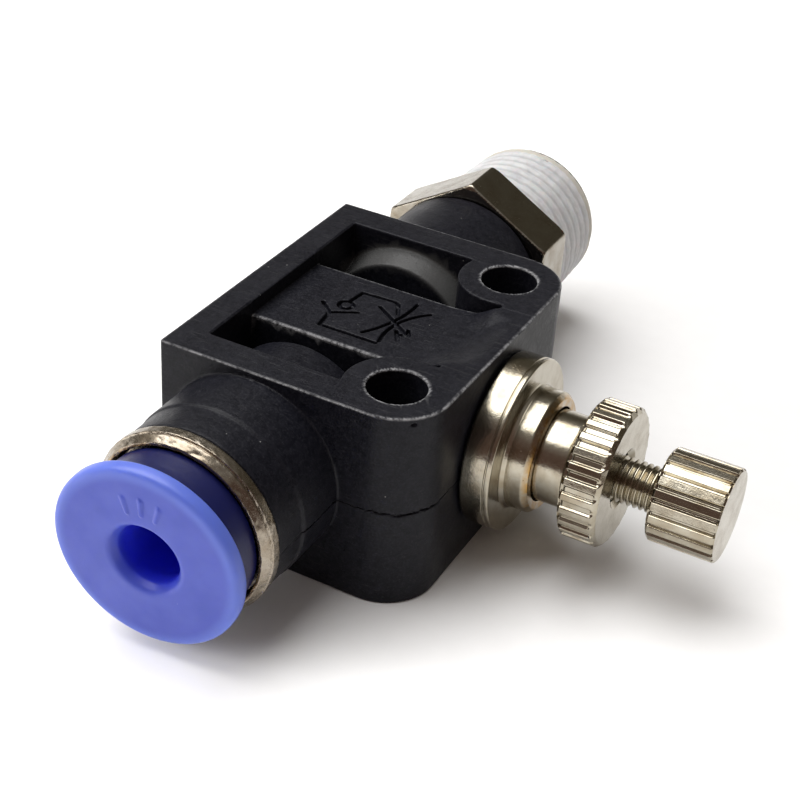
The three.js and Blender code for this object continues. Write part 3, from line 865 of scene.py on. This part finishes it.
def grooves(place, radius, angle, count, rim, start, end, half, wall, depth):
    """Flat-bottomed straight grooves on a rim of that radius, with flat ridges between them."""
    pitch = TURN * rim / count
    u = (angle * rim + pitch / 2) % pitch - pitch / 2
    past = np.maximum(np.maximum(start - place, place - end), 0)
    dip = depth * np.clip((half - np.hypot(u, past)) / wall, 0, 1)
    from_ridge = pitch / 2 - np.abs(u)
    ridge = rim * (1 / np.cos(from_ridge / rim) - 1) * (dip == 0)
    return (ridge - dip) * step01(rim - 0.6, rim - 0.45, radius)


NUT_R, NUT_FLUTES, NUT_SIDES = 3.99, 28, 20  # sides: how many to a flute
KNOB_R, KNOB_FLUTES, KNOB_SIDES = 2.645, 22, 24


def build_nut():
    def relief(place, radius, angle, out):
        cuts = grooves(place, radius, angle, NUT_FLUTES, NUT_R, 15.2, 17.12, 0.25, 0.08, 0.17)
        return cuts * step01(0.3, 0.6, out[:, 0])

    profile = [
        (1.45, 15.3, 0.1), (3.8, 15.3, 0.06), (NUT_R, 15.45, 0.05), (NUT_R, 17.27, 0.04),
        (3.72, 17.5, 0.04), (1.75, 17.5, 0.06), (1.45, 17.2, 0.06),
    ]
    return turned_piece(
        "lock_nut", profile, "x", NUT_FLUTES * NUT_SIDES, "locknut", ["locknut"], "nickel_brass",
        nickel_nut, relief=relief, longest=0.07, steps=4,
    )


def build_knob():
    def relief(place, radius, angle, out):
        cuts = grooves(place, radius, angle, KNOB_FLUTES, KNOB_R, 19.8, 24.0, 0.15, 0.07, 0.17)
        return cuts * step01(0.3, 0.6, out[:, 0])

    profile = [
        (1.22, 19.8, 0.08), (2.5, 19.8, 0.08), (KNOB_R, 19.95, 0.05), (KNOB_R, 23.5, 0.04),
        (2.55, 23.6, 0.03), (ON_AXIS, 23.6), (ON_AXIS, 21.85), (1.22, 21.85, 0.05),
    ]
    return turned_piece(
        "knob", profile, "x", KNOB_FLUTES * KNOB_SIDES, "needle", ["adjusting_knob"],
        "nickel_brass", nickel_knob, relief=relief, longest=0.09, steps=4,
    )


def build_stem():
    pitch, crest, root = 0.35, 1.3, 1.11

    def relief(place, radius, angle, out):
        wave = (place / pitch + angle / TURN) % 1
        ridge = np.clip(1.25 - np.abs(wave - 0.5) * 2.5, 0, 1)
        threaded = step01(14.6, 14.9, place) * (1 - step01(19.62, 19.72, place))
        return (crest - root) * ridge * threaded * step01(0.5, 0.9, out[:, 0])

    profile = [
        (ON_AXIS, -1.8), (0.2, -1.8, 0.05), (0.66, 0.9), (1.0, 1.3), (1.0, 2.05), (0.75, 2.05),
        (0.75, 2.45), (1.2, 2.45), (1.2, 7.0), (0.85, 7.0), (0.85, 7.7), (1.2, 7.7), (1.2, 14.5),
        (root, 14.6), (root, 21.7), (ON_AXIS, 21.7),
    ]
    line = filleted(profile)
    plain = [tuple(p) for p in line if p[1] < 14.55 or p[1] > 19.8]
    threaded = [(root, x) for x in np.arange(14.6, 19.8, 0.022)]
    split = next(i for i, p in enumerate(line) if p[1] > 14.55)
    whole = plain[:split] + threaded + plain[split:]
    return turned_piece(
        "stem", whole, "x", 96, "needle", ["needle_stem"], "nickel_brass", nickel_stem,
        relief=relief,
    )


PIPE_PITCH, PIPE_CREST, PIPE_TAPER = 0.907, 5.1, 1 / 32
HEX_START, HEX_END, HEX_FACE_R, HEX_CORNER_R = 15.55, 19.1, 6.1, 6.4
HEX_HALF_FLATS, HEX_CONE = 5.55, 0.56  # the cone is the chamfer of the hexagon's corners
THREAD_END = 26.35


def pipe_wave(place, angle):
    """0 at the roots and 1 at the crests of the right-hand taper thread."""
    wave = (place / PIPE_PITCH - angle / TURN) % 1
    return np.clip(1.15 - np.abs(wave - 0.5) * 2.6, 0, 1)


def fitting_distance(x, y, z):
    up = z - AXIS_Z
    r = np.hypot(x, up)
    angle = np.arctan2(x, up)
    flats = r - HEX_CORNER_R
    for i in range(6):
        a = TURN * (i + 0.5) / 6
        flats = meet(flats, x * math.sin(a) + up * math.cos(a) - HEX_HALF_FLATS, 0.09)
    steep = HEX_CONE / math.hypot(1, HEX_CONE)
    front_cone = (r - HEX_FACE_R + (HEX_START - y) / HEX_CONE) * steep
    back_cone = (r - HEX_FACE_R + (y - HEX_END) / HEX_CONE) * steep
    nut = meet(flats, between(y, HEX_START, HEX_END), 0.1)
    nut = meet(meet(nut, front_cone, 0.06), back_cone, 0.06)

    taper = PIPE_CREST - (y - HEX_END) * PIPE_TAPER
    threaded = step01(19.3, 19.7, y) * (1 - step01(25.45, 25.85, y))
    thread = r - taper + 0.5 * (1 - pipe_wave(y, angle) * threaded)
    thread = meet(thread * 0.8, between(y, 18.3, THREAD_END), 0.12)
    lead = (r - 4.35 + (y - THREAD_END)) * 0.7071
    thread = meet(thread, lead, 0.1)
    rim = meet(r - (taper - 0.04), between(y, 25.2, 26.12), 0.1)
    thread = np.minimum(thread, rim)
    shank = np.maximum(r - 4.1, between(y, 9.5, 18.8))
    groove = np.maximum(3.25 - r, between(y, 10.9, 11.9))
    snap = np.maximum(3.5 - r, between(y, 13.55, 14.25))
    shank = cut(cut(shank, groove, 0.05), snap, 0.05)
    whole = join(join(nut, thread, 0.08), shank, 0.05)
    bore = np.minimum(r - 2, np.maximum(r - 3, 20.2 - y))
    return cut(whole, bore, 0.15)


def build_fitting():
    span = spaced(-6.5, (6.5, 0.1))
    axes = (span, spaced(9.33, (15.4, 0.12), (26.55, 0.085)), span + AXIS_Z + 0.013)
    points, quads = level_surface(fitting_distance, axes)
    mesh = lightened("fitting", points, quads, FITTING_FACES)
    return make_piece(
        "fitting", mesh, "fitting", ["threaded_fitting"], nickel_fitting
    )


def build_sealant():
    """A dry coat over the thread: it follows the crests and nearly fills the roots."""

    def relief(place, radius, angle, out):
        crests = np.maximum(pipe_wave(place, angle), step01(25.2, 25.5, place))
        thin = np.maximum(0, ripple(angle * 5, place * 2.2, radius, 1.6, 0.9) - 0.2)
        coat = 0.07 * crests - 0.055 * thin
        coat = coat - 0.02 * ripple(angle * 5, place * 3, radius, 0.6, 2.7)
        return coat * step01(0.5, 0.8, out[:, 0])

    def crest_line(y):
        return PIPE_CREST - (y - HEX_END) * PIPE_TAPER - 0.02

    profile = [
        (4.5, 19.35), (crest_line(19.35) - 0.15, 19.35, 0.1), (crest_line(19.6), 19.6, 0.1),
        (crest_line(25.3), 25.3, 0.1), (crest_line(25.8), 25.8, 0.1),
        (crest_line(25.9) - 0.2, 25.9, 0.05), (4.3, 25.9),
    ]

    # the root mark places painted shade in the thread's roots
    def root(p):
        angle = np.arctan2(p[:, 0], p[:, 2] - AXIS_Z)
        low = 1 - step01(0.0, 0.6, pipe_wave(p[:, 1], angle % TURN))
        return 0.5 * low * (1 - step01(25.2, 25.3, p[:, 1]))

    def bare(p):
        return step01(25.25, 25.4, p[:, 1])

    return turned_piece(
        "thread_coat", profile, "y", 320, "fitting", ["thread_sealant"], "white_sealant", sealant,
        {"root": root, "bare": bare}, relief=relief, longest=0.05,
    )


build_body()
build_collet()
build_ring()
build_bushing()
build_guide()
build_nut()
build_knob()
build_stem()
build_fitting()
build_sealant()

# The pieces inside keep their CAD meshes.
INSIDE = {
    "grab_ring": steel, "grab_ring_holder": brass, "tube_seal": rubber, "bushing_oring": rubber,
    "seat_sleeve": brass, "check_seal": rubber, "stem_oring": rubber, "stem_stop_ring": steel,
    "fitting_oring": rubber, "fitting_retaining_ring": steel,
}
for node, material in INSIDE.items():
    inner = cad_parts[node]
    if not inner.material_slots:
        inner.data.materials.append(material)
    for held in inner.material_slots:
        held.material = material


# ---- stage, light and camera ----
def floor_material():
    f = Finish("floor_pale", Roughness=0.55, Specular_IOR_Level=0.3)
    paper = f.noise(f.place, 0.6, 3.0)
    return f.set(Base_Color=f.mix(paper, (0.86, 0.855, 0.85, 1), (0.9, 0.895, 0.89, 1)))


def build_floor():
    half = 3.0
    corners = [(-half, -half, 0), (half, -half, 0), (half, half, 0), (-half, half, 0)]
    mesh = bpy.data.meshes.new("floor")
    mesh.from_pydata(corners, [], [(0, 1, 2, 3)])
    mesh.materials.append(floor_material())
    floor = bpy.data.objects.new("floor", mesh)
    bpy.context.scene.collection.objects.link(floor)
    return floor


def area_light(name, direction, size, power):
    """A round light in that direction from the middle of the object, facing it."""
    light = bpy.data.lights.new(name, "AREA")
    light.shape, light.size, light.energy = "DISK", size, power
    lamp = bpy.data.objects.new(name, light)
    bpy.context.scene.collection.objects.link(lamp)
    lamp.location = MIDDLE + direction * LIGHT_DISTANCE
    lamp.rotation_euler = (-direction).to_track_quat("-Z", "Y").to_euler()
    return lamp


def build_world():
    """A dim warm room, lighter overhead, and pale low down behind, for the metal to reflect."""
    world = bpy.data.worlds.new("room")
    bpy.context.scene.world = world
    world.use_nodes = True
    tree = world.node_tree
    background = tree.nodes["Background"]
    where = tree.nodes.new("ShaderNodeTexCoord")

    def facing(direction, low, high):
        dot = tree.nodes.new("ShaderNodeVectorMath")
        dot.operation = "DOT_PRODUCT"
        tree.links.new(where.outputs["Generated"], dot.inputs[0])
        dot.inputs[1].default_value = Vector(direction).normalized()
        ranged = tree.nodes.new("ShaderNodeMapRange")
        ranged.interpolation_type = "SMOOTHSTEP"
        tree.links.new(dot.outputs["Value"], ranged.inputs["Value"])
        ranged.inputs["From Min"].default_value = low
        ranged.inputs["From Max"].default_value = high
        return ranged.outputs["Result"]

    def mixed(share, a, b):
        node = tree.nodes.new("ShaderNodeMix")
        node.data_type = "RGBA"
        tree.links.new(share, node.inputs[0])
        for socket, value in ((6, a), (7, b)):
            if isinstance(value, tuple):
                node.inputs[socket].default_value = value
            else:
                tree.links.new(value, node.inputs[socket])
        return node.outputs[2]

    ahead = facing((0.3, -1, 0.2), -0.5, 0.9)
    room = mixed(ahead, (0.085, 0.075, 0.055, 1), (0.15, 0.10, 0.085, 1))
    room = mixed(facing((0, 0, 1), 0.5, 0.95), room, (0.3, 0.29, 0.28, 1))
    low = mixed(facing((0, 0, -1), -0.26, -0.1), (0, 0, 0, 1), (1, 1, 1, 1))
    behind = mixed(facing((-0.5, 0.86, 0), -0.1, 0.7), (0, 0, 0, 1), low)
    room = mixed(behind, room, (0.8, 0.78, 0.75, 1))
    tree.links.new(room, background.inputs["Color"])
    background.inputs["Strength"].default_value = 1.0


floor = build_floor()
build_world()
MIDDLE = Vector((0.003, 0, 0.006))
LIGHT_DISTANCE = 0.5
KEY_DIRECTION = Vector((-0.38, 0.03, 0.92))
FILL_DIRECTION = Vector((-0.72, -0.42, 0.55))
WASH_DIRECTION = Vector((-0.66, -0.68, 0.29))
area_light("key", KEY_DIRECTION, KEY_SIZE, KEY_POWER)
area_light("fill", FILL_DIRECTION, FILL_SIZE, FILL_POWER)
wash = area_light("floor_wash", WASH_DIRECTION, WASH_SIZE, WASH_POWER)  # lights only the floor
lit_by_wash = bpy.data.collections.new("lit_by_wash")
lit_by_wash.objects.link(floor)
wash.light_linking.receiver_collection = lit_by_wash

scene = bpy.context.scene
scene.view_settings.view_transform = "Standard"
camera = bpy.data.objects.new("camera", bpy.data.cameras.new("camera"))
scene.collection.objects.link(camera)
scene.camera = camera
camera.location = (0.03751, -0.0698, 0.05696)
camera.rotation_euler = Euler([math.radians(a) for a in (56.74, -3.72, 28.24)])
camera.data.sensor_width = 36
camera.data.lens = 72.8
camera.data.clip_start, camera.data.clip_end = 0.005, 10
